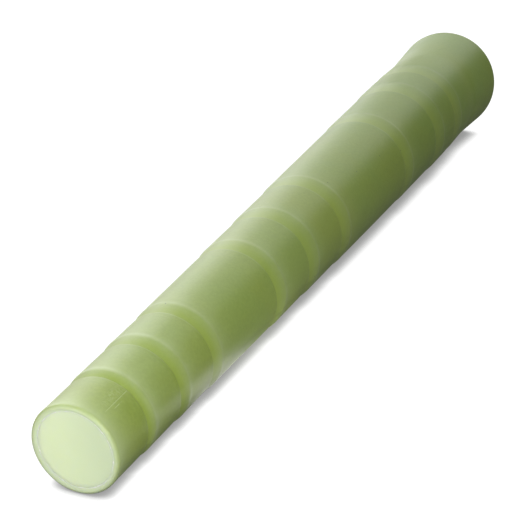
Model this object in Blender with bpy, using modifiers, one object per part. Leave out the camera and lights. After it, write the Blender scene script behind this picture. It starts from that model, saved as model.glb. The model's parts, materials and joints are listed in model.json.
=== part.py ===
"""Luminous traffic baton light: a hollow tapered wand with its light engine inside the grip.

The wand's own axis runs from the rim of its bell-mouthed butt (0) to its tip (LENGTH). Every sub-part
is drawn in millimetres along that axis. An empty then lays the wand down on its rim and its tip edge,
with the tip towards +X and the middle of its footprint at the origin.
"""
import math

import bmesh
import bpy

MM = 0.001
NAME = "traffic_baton_light"

# Driving dimensions, in millimetres
LENGTH = 292.0
RIM_RADIUS = 20.0
TIP_RADIUS = 9.92
EDGE_ROUND = 0.8
DISC_BORE = 8.46
CONE_TIP_RADIUS = 9.86
CONE_SLOPE = 0.0345
SECTION_DROP = 0.14
GROOVE_DEPTH = 0.5
GROOVE_WALL = 1.0
NECK_RADIUS = 17.95
NECK_FROM_TIP = 261.0
GAP = 0.3

# Grooves: distance from the tip of each sharp front edge and of the ridge behind it
GROOVES = [
    (11.9, 15.0), (25.6, 29.7), (40.5, 44.9),
    (75.1, 80.4), (95.8, 102.0), (119.2, 125.7),
    (176.0, 183.6), (210.0, 219.5), (234.0, 242.3),
]

# Facets of the round pieces
SKIN_STEPS = 32
ROUND_STEPS = 24
SMALL_STEPS = 12
WIRE_STEPS = 10
HOLE_TURN = 0.1

# Butt and light engine, in millimetres along the wand from its rim
MOUTH_RADIUS = 17.2
SEAT = 15.3
BARREL_BORE = 12.7
BARREL_RADIUS = 14.9
BARREL_NOSE_RADIUS = 14.2
BARREL_STEP = 59.0
BARREL_FRONT = 101.7
FIT_RADIUS = BARREL_BORE - GAP
THREAD_PITCH = 2.4
THREAD_START = 5.6
THREAD_TURNS = 1.5
THREAD_HALF_WIDTH = 0.45
CAP_REAR = 1.4
CAP_FLOOR = 4.0
CAP_LIP = 11.6
CELL_RADIUS = 5.25
CELL_LENGTH = 44.5
CELL_CIRCLE = 6.3
CELL_REAR = 27.3
REAR_PLATE = (22.4, 24.4)
FRONT_PLATE = (73.0, 75.0)
POST_CIRCLE = 10.6
KEY_HALF_WIDTH = 1.0
KEY_INNER = 11.6

# Colour, roughness, metallic
FINISHES = {
    "luminous_plastic": ((0.42, 0.52, 0.24), 0.45, 0.0),
    "end_disc_plastic": ((0.72, 0.80, 0.52), 0.40, 0.0),
    "white_plastic": ((0.75, 0.76, 0.70), 0.50, 0.0),
    "black_plastic": ((0.03, 0.03, 0.032), 0.50, 0.0),
    "rubber": ((0.02, 0.02, 0.02), 0.80, 0.0),
    "button_rubber": ((0.45, 0.05, 0.03), 0.60, 0.0),
    "aluminium": ((0.70, 0.71, 0.72), 0.35, 1.0),
    "mirror_coat": ((0.90, 0.90, 0.90), 0.05, 1.0),
    "clear_lens": ((0.90, 0.93, 0.93), 0.05, 0.0),
    "circuit_board": ((0.03, 0.20, 0.08), 0.40, 0.0),
    "spring_steel": ((0.60, 0.60, 0.60), 0.30, 1.0),
    "brass": ((0.80, 0.58, 0.25), 0.30, 1.0),
    "cell_wrap": ((0.12, 0.14, 0.18), 0.30, 0.0),
    "led_resin": ((0.90, 0.80, 0.25), 0.20, 0.0),
    "wire_sleeve": ((0.50, 0.04, 0.03), 0.50, 0.0),
}


# Scene set-up

for old in list(bpy.data.objects):
    bpy.data.objects.remove(old, do_unlink=True)

parts = bpy.data.collections.new(NAME)
cutters = bpy.data.collections.new(NAME + "_cutters")
bpy.context.scene.collection.children.link(parts)
bpy.context.scene.collection.children.link(cutters)


def make_material(slot):
    colour, roughness, metallic = FINISHES[slot]
    material = bpy.data.materials.new(slot)
    material.use_nodes = True
    shader = material.node_tree.nodes["Principled BSDF"]
    shader.inputs["Base Color"].default_value = (*colour, 1.0)
    shader.inputs["Roughness"].default_value = roughness
    shader.inputs["Metallic"].default_value = metallic
    return material


materials = {slot: make_material(slot) for slot in FINISHES}


# Modelling tools

def place(name, data, slot, parent, location=(0.0, 0.0, 0.0)):
    """Put a mesh or curve in the model, or among the cutters when it has no finish."""
    item = bpy.data.objects.new(name, data)
    item.parent = parent
    item.location = [value * MM for value in location]
    if slot is None:
        cutters.objects.link(item)
        item.hide_render = True
        item.display_type = "WIRE"
    else:
        parts.objects.link(item)
        data.materials.append(materials[slot])
    return item


def settle(item):
    """Turn an object's curve or modifiers into one plain mesh, smooth except at its edges."""
    bpy.context.view_layer.update()
    evaluated = item.evaluated_get(bpy.context.evaluated_depsgraph_get())
    mesh = bpy.data.meshes.new_from_object(evaluated)
    shape = bmesh.new()
    shape.from_mesh(mesh)
    bmesh.ops.remove_doubles(shape, verts=shape.verts, dist=0.000001)
    shape.to_mesh(mesh)
    shape.free()
    mesh.shade_smooth()
    mesh.set_sharp_from_angle(angle=math.radians(35.0))
    if item.type == "CURVE":
        name = item.name
        collection = item.users_collection[0]
        solid = bpy.data.objects.new(name + "_mesh", mesh)
        solid.parent = item.parent
        solid.matrix_world = item.matrix_world
        solid.hide_render = item.hide_render
        solid.display_type = item.display_type
        collection.objects.link(solid)
        bpy.data.objects.remove(item, do_unlink=True)
        solid.name = name
        return solid
    item.modifiers.clear()
    item.data = mesh
    return item


def turned(name, slot, parent, outline, steps=ROUND_STEPS, closed=True, at=(0.0, 0.0, 0.0), turn=0.0):
    """Turn (radius, z) points about the axis; the outline runs down its outer side."""
    mesh = bpy.data.meshes.new(name)
    points = [(radius * MM, 0.0, z * MM) for radius, z in outline]
    edges = [(i, i + 1) for i in range(len(points) - 1)]
    if closed:
        edges.append((len(points) - 1, 0))
    mesh.from_pydata(points, edges, [])
    item = place(name, mesh, slot, parent, at)
    item.rotation_euler.z = turn
    screw = item.modifiers.new("turn", "SCREW")
    screw.axis = "Z"
    screw.angle = math.tau
    screw.steps = steps
    screw.render_steps = steps
    screw.use_merge_vertices = True
    screw.merge_threshold = 0.00001
    return settle(item)


def disc(name, slot, parent, radius, low, high, at=(0.0, 0.0), steps=ROUND_STEPS, turn=0.0):
    outline = [(0.0, high), (radius, high), (radius, low), (0.0, low)]
    return turned(name, slot, parent, outline, steps, closed=False, at=(*at, 0.0), turn=turn)


def ring(name, slot, parent, inner, outer, low, high, steps=ROUND_STEPS):
    outline = [(outer, high), (outer, low), (inner, low), (inner, high)]
    return turned(name, slot, parent, outline, steps)


def seal(name, parent, major, minor, z):
    """A round rubber ring."""
    sides = 6
    outline = []
    for i in range(sides):
        angle = -math.tau * (i + 0.5) / sides
        outline.append((major + minor * math.cos(angle), z + minor * math.sin(angle)))
    return turned(name, "rubber", parent, outline)


def block(name, slot, parent, size, centre):
    mesh = bpy.data.meshes.new(name)
    shape = bmesh.new()
    bmesh.ops.create_cube(shape, size=1.0)
    bmesh.ops.scale(shape, vec=[value * MM for value in size], verts=shape.verts)
    shape.to_mesh(mesh)
    shape.free()
    return place(name, mesh, slot, parent, centre)


def wire(name, slot, parent, points, radius, sides_level=0):
    """A round wire through (x, y, z) points."""
    curve = bpy.data.curves.new(name, "CURVE")
    curve.dimensions = "3D"
    curve.bevel_depth = radius * MM
    curve.bevel_resolution = sides_level
    curve.use_fill_caps = True
    spline = curve.splines.new("POLY")
    spline.points.add(len(points) - 1)
    for target, point in zip(spline.points, points):
        target.co = (*[value * MM for value in point], 1.0)
    return settle(place(name, curve, slot, parent))


def coil_points(radius_low, radius_high, low, high, turns, centre=(0.0, 0.0)):
    count = int(turns * WIRE_STEPS)
    points = []
    for i in range(count + 1):
        share = i / count
        angle = math.tau * turns * share
        radius = radius_low + (radius_high - radius_low) * share
        x = centre[0] + radius * math.cos(angle)
        y = centre[1] + radius * math.sin(angle)
        points.append((x, y, low + (high - low) * share))
    return points


def combine(item, tools, operation="DIFFERENCE"):
    """Cut the tools from an object, or join them to it."""
    for tool in tools:
        modifier = item.modifiers.new(tool.name, "BOOLEAN")
        modifier.object = tool
        modifier.operation = operation
    return settle(item)


def around(count, radius, start=0.0):
    """Centres evenly spaced on a circle about the axis."""
    angles = [start + math.tau * i / count for i in range(count)]
    return [(radius * math.cos(angle), radius * math.sin(angle)) for angle in angles]


def holes(parent, name, centres, radius, low, high):
    """Round cutters, turned a little so that none of their corners lies on an edge of the piece."""
    return [
        disc(f"{name}_{i + 1}", None, parent, radius, low, high, centre, SMALL_STEPS, HOLE_TURN)
        for i, centre in enumerate(centres)
    ]


def screws(name, parent, centres, head_radius, shank_radius, head, tip):
    """Pan-head screws; head is the (under, top) of the head, and tip is the shank's end."""
    under, top = head
    outline = [
        (0.0, top), (head_radius * 0.7, top), (head_radius, (top + under) / 2), (head_radius, under),
        (shank_radius, under), (shank_radius, tip), (0.0, tip),
    ]
    if top < tip:
        outline.reverse()
    for i, centre in enumerate(centres):
        turned(f"{name}_{i + 1}", "spring_steel", parent, outline, WIRE_STEPS, False, (*centre, 0.0))


def thread_ridge(name, parent, root, crest, start):
    """A right-hand helical ridge of one profile, closed at both ends, that is joined to a wall."""
    turns = THREAD_TURNS if crest > root else 1.0
    half = THREAD_HALF_WIDTH
    outline = [(root, half), (crest, half * 0.6), (crest, -half * 0.6), (root, -half)]
    mesh = bpy.data.meshes.new(name)
    points = [(radius * MM, 0.0, (start + z) * MM) for radius, z in outline]
    mesh.from_pydata(points, [(0, 1), (1, 2), (2, 3), (3, 0)], [])
    item = place(name, mesh, None, parent)
    screw = item.modifiers.new("helix", "SCREW")
    screw.axis = "Z"
    screw.angle = math.tau * turns
    screw.screw_offset = THREAD_PITCH * turns * MM
    screw.steps = int(ROUND_STEPS * turns)
    screw.render_steps = screw.steps
    settle(item)
    shape = bmesh.new()
    shape.from_mesh(item.data)
    bmesh.ops.holes_fill(shape, edges=[edge for edge in shape.edges if edge.is_boundary], sides=4)
    bmesh.ops.recalc_face_normals(shape, faces=shape.faces)
    shape.to_mesh(item.data)
    shape.free()
    return item


def arc(centre, radius, first, last, count):
    """Points of a round edge, between two angles in degrees."""
    points = []
    for i in range(count + 1):
        angle = math.radians(first + (last - first) * i / count)
        points.append((centre[0] + radius * math.cos(angle), centre[1] + radius * math.sin(angle)))
    return points


# The wand's outline

def cone_radius(from_tip):
    return CONE_TIP_RADIUS + CONE_SLOPE * from_tip


def skin_outline():
    """The outer side of the sleeve, from the tip's face down to the rim."""
    points = arc((TIP_RADIUS - EDGE_ROUND, LENGTH - EDGE_ROUND), EDGE_ROUND, 90.0, 0.0, 3)
    for edge, ridge in GROOVES:
        before = min(cone_radius(edge), NECK_RADIUS)
        behind = min(cone_radius(ridge), NECK_RADIUS)
        points.append((before - SECTION_DROP, LENGTH - edge))
        points.append((before - GROOVE_DEPTH, LENGTH - edge - GROOVE_WALL))
        points.append((behind, LENGTH - ridge))
    points.append((NECK_RADIUS, LENGTH - NECK_FROM_TIP))
    points += arc((RIM_RADIUS - EDGE_ROUND, EDGE_ROUND), EDGE_ROUND, 0.0, -90.0, 3)
    return points


def lying_frame():
    """The tilt and the place of the rim's centre when the wand lies on its rim and tip edge."""
    flat = math.cos(math.pi / SKIN_STEPS)
    rim_z = EDGE_ROUND
    tip_z = LENGTH - EDGE_ROUND
    tilt = math.atan((RIM_RADIUS - TIP_RADIUS) * flat / (tip_z - rim_z))
    height = RIM_RADIUS * flat * math.cos(tilt) + rim_z * math.sin(tilt)
    reach = []
    for radius, z in skin_outline():
        for side in (-1.0, 1.0):
            reach.append(side * radius * flat * math.sin(tilt) + z * math.cos(tilt))
    middle = (min(reach) + max(reach)) / 2
    return tilt, (-middle, 0.0, height)


def make_empty(name, parent=None):
    empty = bpy.data.objects.new(name, None)
    empty.empty_display_size = 0.02
    parts.objects.link(empty)
    empty.parent = parent
    return empty


TILT, RIM_CENTRE = lying_frame()
wand = make_empty("wand_axis")
wand.rotation_euler = (0.0, math.pi / 2 + TILT, 0.0)
wand.location = [value * MM for value in RIM_CENTRE]
carriage = make_empty("tail_carriage_axis", wand)
cap_axis = make_empty("cap_axis", carriage)
button_axis = make_empty("button_axis", carriage)


# The wand: sleeve and end disc

def make_wand():
    disc_seat = LENGTH - 3.3
    inside = [
        (RIM_RADIUS - EDGE_ROUND, 0.0), (MOUTH_RADIUS + 0.7, 0.0), (MOUTH_RADIUS, 0.7),
        (MOUTH_RADIUS, 10.4), (MOUTH_RADIUS - 0.5, 10.9), (MOUTH_RADIUS - 0.5, 11.4),
        (MOUTH_RADIUS, 11.8), (MOUTH_RADIUS, SEAT), (BARREL_RADIUS + GAP, SEAT),
        (BARREL_RADIUS + GAP, BARREL_STEP + 1.0), (BARREL_NOSE_RADIUS + GAP, BARREL_STEP + 2.0),
        (BARREL_NOSE_RADIUS + GAP, 104.0), (7.0, disc_seat), (DISC_BORE, disc_seat),
        (DISC_BORE, LENGTH),
    ]
    outline = skin_outline()[:-1] + inside
    half_facet = math.pi / SKIN_STEPS
    turned("wand_sleeve", "luminous_plastic", wand, outline, SKIN_STEPS, turn=half_facet)
    radius = DISC_BORE - GAP
    plug = [
        (0.0, LENGTH), (radius - 0.3, LENGTH), (radius, LENGTH - 0.3), (radius, disc_seat + GAP),
        (6.7, disc_seat + GAP), (6.7, disc_seat - 2.2), (5.5, disc_seat - 2.2),
        (5.5, disc_seat + 0.8), (0.0, disc_seat + 0.8),
    ]
    turned("tip_disc", "end_disc_plastic", wand, plug, SKIN_STEPS, closed=False, turn=half_facet)


# The light engine's barrel, with its thread and its keys

def make_barrel():
    outline = [
        (BARREL_NOSE_RADIUS, BARREL_FRONT), (BARREL_NOSE_RADIUS, BARREL_STEP + 1.0),
        (BARREL_RADIUS, BARREL_STEP), (BARREL_RADIUS, SEAT - GAP), (MOUTH_RADIUS - GAP, SEAT - GAP),
        (MOUTH_RADIUS - GAP, 12.1), (13.45, 12.1), (13.45, 10.1), (13.6, 9.8), (13.6, 5.2),
        (13.3, 4.9), (BARREL_BORE, 4.9), (BARREL_BORE, 75.4), (9.0, 75.4), (9.0, 79.0),
        (BARREL_BORE, 79.0), (BARREL_BORE, BARREL_FRONT),
    ]
    barrel = turned("barrel", "white_plastic", wand, outline)
    ridge = thread_ridge("barrel_thread", wand, 13.2, 14.3, THREAD_START)
    keys = []
    for i, side in enumerate((-1.0, 1.0)):
        size = (2 * KEY_HALF_WIDTH, 1.6, 58.4)
        keys.append(block(f"barrel_key_{i + 1}", None, wand, size, (0.0, side * (KEY_INNER + 0.8), 43.8)))
    combine(barrel, [ridge] + keys, "UNION")
    seal("tail_seal", wand, 14.35, 0.6, 10.95)


def key_slots(name, parent, low, high):
    """Cutters for the two notches that run on the barrel's keys."""
    slots = []
    for i, side in enumerate((-1.0, 1.0)):
        size = (2 * (KEY_HALF_WIDTH + 0.4), 4.0, high - low + 2.0)
        centre = (0.0, side * (KEY_INNER - 0.4 + 2.0), (low + high) / 2)
        slots.append(block(f"{name}_slot_{i + 1}", None, parent, size, centre))
    return slots


# The lamp head: driver, heat sink, emitter, reflector, lens and bezel

def make_head():
    disc("driver_board", "circuit_board", wand, FIT_RADIUS, 79.3, 80.7)
    coil = coil_points(2.6, 1.8, 78.6, 76.6, 2.0)
    wire("driver_contact_spring", "spring_steel", wand, coil, 0.35)
    disc("driver_inductor", "black_plastic", wand, 3.0, 81.0, 83.6, at=(-3.6, 0.0), steps=SMALL_STEPS)
    block("driver_chip", "black_plastic", wand, (3.8, 3.8, 1.2), (3.4, 3.2, 81.6))
    block("driver_sense_resistor", "black_plastic", wand, (2.4, 1.6, 1.0), (3.4, -3.2, 81.5))

    pill = [
        (FIT_RADIUS, 87.0), (FIT_RADIUS, 81.0), (11.1, 81.0), (11.1, 84.2), (0.0, 84.2),
    ]
    sink = turned("heat_sink", "aluminium", wand, [(0.0, 87.0)] + pill, closed=False)
    lead_places = [(-10.0, 0.0), (10.0, 0.0)]
    screw_places = [(0.0, -6.5), (0.0, 6.5)]
    cuts = holes(wand, "lead_hole", lead_places, 0.9, 84.0, 87.2)
    cuts += holes(wand, "sink_screw_hole", screw_places, 1.0, 84.0, 87.2)
    combine(sink, cuts)

    board = disc("led_board", "circuit_board", wand, 9.0, 87.3, 88.7)
    combine(board, holes(wand, "led_board_hole", screw_places, 1.0, 87.0, 89.0))
    screws("led_board_screw", wand, screw_places, 1.5, 0.7, (89.0, 90.0), 84.6)
    make_leads(lead_places)
    emitter = [
        (0.0, 91.4), (0.9, 91.2), (1.6, 90.7), (1.9, 90.0), (2.5, 90.0), (2.5, 89.0), (0.0, 89.0),
    ]
    turned("led_emitter", "led_resin", wand, emitter, SMALL_STEPS, closed=False)
    make_reflector()
    lens = [
        (0.0, 98.9), (6.0, 98.9), (FIT_RADIUS, 98.7), (FIT_RADIUS, 97.3), (0.0, 97.3),
    ]
    turned("lens", "clear_lens", wand, lens, closed=False)
    seal("lens_seal", wand, 11.6, 0.45, 99.7)
    bezel = [
        (BARREL_NOSE_RADIUS - 0.6, 103.6), (BARREL_NOSE_RADIUS, 103.0), (BARREL_NOSE_RADIUS, 102.0),
        (FIT_RADIUS, 102.0), (FIT_RADIUS, 100.6), (10.6, 100.6), (10.6, 103.0), (11.2, 103.6),
    ]
    turned("lens_bezel", "white_plastic", wand, bezel)


def make_leads(places):
    """Two insulated leads from the driver, past the board's edge and down onto its pads."""
    for i, (x, _) in enumerate(places):
        side = math.copysign(1.0, x)
        route = [
            (x, 0.0, 81.0), (x, 0.0, 89.2), (side * 9.7, 0.0, 89.9), (side * 9.0, 0.0, 90.2),
            (side * 8.2, 0.0, 89.9), (side * 7.8, 0.0, 89.0),
        ]
        wire(f"led_lead_{i + 1}", "wire_sleeve", wand, route, 0.45, 1)


def make_reflector():
    """A parabolic cup, with a flange at its mouth."""
    throat, mouth = 3.2, 11.3
    rear, front = 89.6, 97.0
    wall = 0.8
    count = 4
    bowl = []
    for i in range(count + 1):
        radius = throat + (mouth - throat) * i / count
        rise = (radius ** 2 - throat ** 2) / (mouth ** 2 - throat ** 2)
        bowl.append((radius, rear + (front - rear) * rise))
    back = [(radius + wall, z) for radius, z in reversed(bowl[:-1])]
    flange = [(FIT_RADIUS, front), (FIT_RADIUS, front - wall), (bowl[-1][0] + wall, front - wall)]
    turned("reflector", "mirror_coat", wand, flange + back + bowl)


# The battery cartridge

def make_cartridge():
    post_places = around(3, POST_CIRCLE, math.pi / 3)
    cell_places = around(3, CELL_CIRCLE)
    plates = (("cartridge_rear_plate", REAR_PLATE), ("cartridge_front_plate", FRONT_PLATE))
    for name, (low, high) in plates:
        plate = disc(name, "black_plastic", wand, 12.2, low, high)
        cuts = key_slots(name, wand, low, high)
        cuts += holes(wand, name + "_hole", post_places, 0.9, low - 1.0, high + 1.0)
        combine(plate, cuts)
    low = REAR_PLATE[1] + GAP
    high = FRONT_PLATE[0] - GAP
    post = [(1.35, high), (1.35, low), (0.85, low), (0.85, high)]
    for i, centre in enumerate(post_places):
        turned(f"cartridge_post_{i + 1}", "black_plastic", wand, post, WIRE_STEPS, at=(*centre, 0.0))
    rear_head = (REAR_PLATE[0] - GAP, REAR_PLATE[0] - GAP - 0.9)
    screws("cartridge_screw", wand, post_places, 1.5, 0.55, rear_head, REAR_PLATE[1] + 6.0)
    disc("cartridge_front_terminal", "brass", wand, 2.5, FRONT_PLATE[1] + GAP, FRONT_PLATE[1] + 1.1,
         steps=SMALL_STEPS)

    for i, centre in enumerate(cell_places):
        flipped = i == 1
        make_cell(f"battery_cell_{i + 1}", centre, flipped)
        spring_ends = [facing(REAR_PLATE[1] + 0.65, flipped), facing(CELL_REAR - 0.65, flipped)]
        coil = coil_points(4.0, 2.8, *spring_ends, 2.0, centre)
        wire(f"cell_spring_{i + 1}", "spring_steel", wand, coil, 0.35)
        ends = sorted([facing(FRONT_PLATE[0] - 0.9, flipped), facing(FRONT_PLATE[0] - GAP, flipped)])
        disc(f"cell_contact_{i + 1}", "brass", wand, 3.6, *ends, centre, SMALL_STEPS)


def facing(z, flipped):
    """A place along the cartridge, measured from its other end for a cell that faces back."""
    return REAR_PLATE[1] + FRONT_PLATE[0] - z if flipped else z


def make_cell(name, centre, flipped):
    """A round dry cell: a wrapped can with a raised nub at its positive end."""
    front = CELL_REAR + CELL_LENGTH
    outline = [
        (0.0, front), (1.9, front), (1.9, front - 0.8), (CELL_RADIUS - 0.4, front - 0.8),
        (CELL_RADIUS, front - 1.2), (CELL_RADIUS, CELL_REAR + 0.4), (CELL_RADIUS - 0.4, CELL_REAR),
        (0.0, CELL_REAR),
    ]
    if flipped:
        outline = [(radius, facing(z, True)) for radius, z in reversed(outline)]
    turned(name, "cell_wrap", wand, outline, SMALL_STEPS, closed=False, at=(*centre, 0.0))


# The keyed switch module, which slides with the tail cap but doesn't turn

def make_switch_module():
    ring("switch_gasket", "rubber", carriage, 8.7, 10.0, CAP_FLOOR + GAP, 4.9)
    screw_places = [(-6.6, 0.0), (6.6, 0.0)]
    pin_places = [(0.0, -1.3), (0.0, 1.3)]
    body = [
        (0.0, 14.1), (8.2, 14.1), (8.2, 11.6), (10.2, 11.6), (10.2, 5.2), (8.4, 5.2), (8.4, 9.4),
        (2.4, 9.4), (2.4, 12.9), (0.0, 12.9),
    ]
    housing = turned("switch_housing", "black_plastic", carriage, body, closed=False)
    cuts = holes(carriage, "housing_screw_hole", screw_places, 1.2, 12.2, 15.0)
    cuts += holes(carriage, "housing_pin_hole", pin_places, 0.8, 12.5, 15.0)
    combine(housing, cuts)

    cup = [
        (0.0, 15.9), (10.4, 15.9), (10.4, 19.8), (12.2, 19.8), (12.2, 14.4), (0.0, 14.4),
    ]
    carrier = turned("contact_carrier", "black_plastic", carriage, cup, closed=False)
    cuts = key_slots("carrier", carriage, 14.4, 19.8)
    cuts += holes(carriage, "carrier_screw_hole", screw_places, 1.2, 14.0, 16.4)
    cuts += holes(carriage, "carrier_pin_hole", pin_places, 0.8, 14.0, 16.4)
    combine(carrier, cuts)

    board = disc("tail_contact_board", "circuit_board", carriage, 10.0, 16.2, 17.4)
    combine(board, holes(carriage, "tail_board_hole", screw_places, 1.2, 16.0, 17.6))
    screws("carrier_screw", carriage, screw_places, 1.7, 0.8, (17.7, 18.7), 12.6)
    for i, centre in enumerate(pin_places):
        disc(f"switch_pin_{i + 1}", "brass", carriage, 0.5, 12.6, 15.9, centre, WIRE_STEPS)
    coil = coil_points(4.0, 3.2, 18.1, 21.7, 3.0)
    wire("tail_spring", "spring_steel", carriage, coil, 0.4)
    coil = coil_points(5.2, 5.2, 7.5, 8.85, 2.0)
    wire("button_spring", "spring_steel", carriage, coil, 0.25)


# The push button and its plunger

def make_button():
    key = [
        (0.0, 5.4), (8.0, 5.4), (8.0, CAP_FLOOR + GAP), (6.0, CAP_FLOOR + GAP), (6.0, 1.1), (5.4, 0.7),
        (3.0, 0.5), (0.0, 0.45),
    ]
    turned("push_button", "button_rubber", button_axis, key, closed=False)
    plunger = [
        (0.0, 10.2), (2.0, 10.2), (2.0, 6.4), (3.2, 6.0), (3.2, 5.7), (0.0, 5.7),
    ]
    turned("switch_plunger", "white_plastic", button_axis, plunger, SMALL_STEPS, closed=False)
    disc("contact_bridge", "brass", button_axis, 2.0, 10.5, 11.0, steps=SMALL_STEPS)


# The tail cap, with its inner tube and the clip that keeps the switch module in it

def make_tail_cap():
    outline = [
        (16.2, CAP_LIP), (16.2, CAP_REAR + 1.2), (15.0, CAP_REAR), (6.8, CAP_REAR), (6.3, CAP_REAR + 0.5),
        (6.3, CAP_FLOOR), (10.6, CAP_FLOOR), (10.6, 11.7), (11.4, 11.7), (11.4, 13.0), (10.6, 13.0),
        (10.6, 14.0), (12.2, 14.0), (12.2, CAP_FLOOR), (14.65, CAP_FLOOR), (14.65, 10.0),
        (15.25, 10.3), (15.25, CAP_LIP),
    ]
    cap = turned("tail_cap", "black_plastic", cap_axis, outline)
    ridge = thread_ridge("cap_thread", cap_axis, 15.0, 13.95, THREAD_START + THREAD_PITCH / 2)
    cap = combine(cap, [ridge], "UNION")
    combine(cap, holes(cap_axis, "finger_well", around(6, 11.6), 2.4, CAP_REAR - 1.0, CAP_REAR + 1.5))

    clip = ring("module_clip", "spring_steel", cap_axis, 8.6, 11.1, 12.0, 12.7)
    combine(clip, [block("clip_gap", None, cap_axis, (6.0, 3.0, 3.0), (10.0, 0.0, 12.35))])


make_wand()
make_barrel()
make_head()
make_cartridge()
make_switch_module()
make_button()
make_tail_cap()
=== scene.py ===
"""Looks of the luminous traffic baton light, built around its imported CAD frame.

Lengths are in metres. The wand's pieces are drawn along its own axis, z = 0 at the rim of the bell
mouth and z = LENGTH at the tip, and their meshes are then laid down with the matrix WAND.
"""

import json
import math

import bmesh
import bpy
from mathutils import Matrix, Vector, noise


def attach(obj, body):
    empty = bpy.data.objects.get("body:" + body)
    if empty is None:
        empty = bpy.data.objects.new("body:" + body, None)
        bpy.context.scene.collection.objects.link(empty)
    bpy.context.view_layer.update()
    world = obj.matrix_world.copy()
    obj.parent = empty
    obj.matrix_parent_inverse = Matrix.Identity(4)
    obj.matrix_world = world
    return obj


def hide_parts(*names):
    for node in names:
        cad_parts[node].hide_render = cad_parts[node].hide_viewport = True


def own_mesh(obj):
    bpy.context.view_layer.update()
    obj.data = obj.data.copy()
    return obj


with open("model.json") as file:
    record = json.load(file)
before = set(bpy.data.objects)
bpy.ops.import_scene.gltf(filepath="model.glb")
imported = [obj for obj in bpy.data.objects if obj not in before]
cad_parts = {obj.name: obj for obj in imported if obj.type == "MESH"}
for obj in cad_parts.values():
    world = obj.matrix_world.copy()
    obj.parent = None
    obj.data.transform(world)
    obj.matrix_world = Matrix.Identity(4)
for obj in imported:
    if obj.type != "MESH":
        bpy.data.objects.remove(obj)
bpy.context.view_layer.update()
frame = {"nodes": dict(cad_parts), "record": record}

MM = 0.001

# The wand's axis, from the record's mount on its tip face
LENGTH = 292 * MM
TIP = next(mount for mount in frame["record"]["mounts"] if mount["name"] == "tip_face")
AXIS = Vector(TIP["axis"]).normalized()
RIM_CENTRE = Vector(TIP["pos_m"]) - AXIS * LENGTH
ACROSS = Vector((0.0, 1.0, 0.0))
DOWN = ACROSS.cross(AXIS).normalized()
WAND = Matrix.Translation(RIM_CENTRE) @ Matrix((DOWN, ACROSS, AXIS)).transposed().to_4x4()

# Sizes of the skin, close to those of its CAD node
RIM_RADIUS = 19.76 * MM
TIP_RADIUS = 9.87 * MM
CONE_TIP_RADIUS = 9.83 * MM
CONE_SLOPE = 0.0345
FULLNESS = 0.14 * MM
FULL_FROM_TIP = 145.0 * MM
FULL_SPREAD = 42.0 * MM
SECTION_DROP = 0.19 * MM
FACE = LENGTH - 0.16 * MM
FACE_SKEW = 0.014
SEAM_OFFSET = 0.4 * MM
BOW = 0.22 * MM
NECK_RADIUS = 17.86 * MM
NECK_FROM_TIP = 261.0 * MM
EDGE_ROUND = 0.8 * MM
SEAM_RADIUS = 8.46 * MM
MOUTH_RADIUS = 17.2 * MM
GROOVES = [
    (11.9, 15.0), (25.6, 29.7), (40.5, 44.9),
    (75.1, 80.4), (95.8, 102.0), (119.2, 125.7),
    (176.0, 183.6), (210.0, 219.5), (234.0, 242.3),
]
GROOVE_DEPTH = 0.5 * MM
ROUND_SIDES = 192

# Sizes inside, in millimetres: the circle on which the cells lie, and the sum of a cell's place and the
# same place on a cell that is turned end for end
CELL_CIRCLE = 6.3
TURNED_CELL = 24.4 + 73.0


# The camera

def make_camera():
    """Near the tip, looking back along the wand, which runs up to the right of the view."""
    behind_tip = 96.2 * MM
    aim = RIM_CENTRE + AXIS * (LENGTH - behind_tip) + Vector((0.0, -0.115, 0.1)) * MM
    distance = 0.3037
    roll = math.radians(-0.35)
    offset = towards(22.47, 21.77)
    data = bpy.data.cameras.new("camera")
    data.sensor_width = 36.0
    data.lens = 79.3
    data.clip_start = 0.01
    camera = bpy.data.objects.new("camera", data)
    turn = (-offset).to_track_quat("-Z", "Y").to_matrix() @ Matrix.Rotation(roll, 3, "Z")
    camera.location = aim + offset * distance
    camera.rotation_euler = turn.to_euler()
    bpy.context.scene.collection.objects.link(camera)
    bpy.context.scene.camera = camera


# Shader tools

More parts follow.
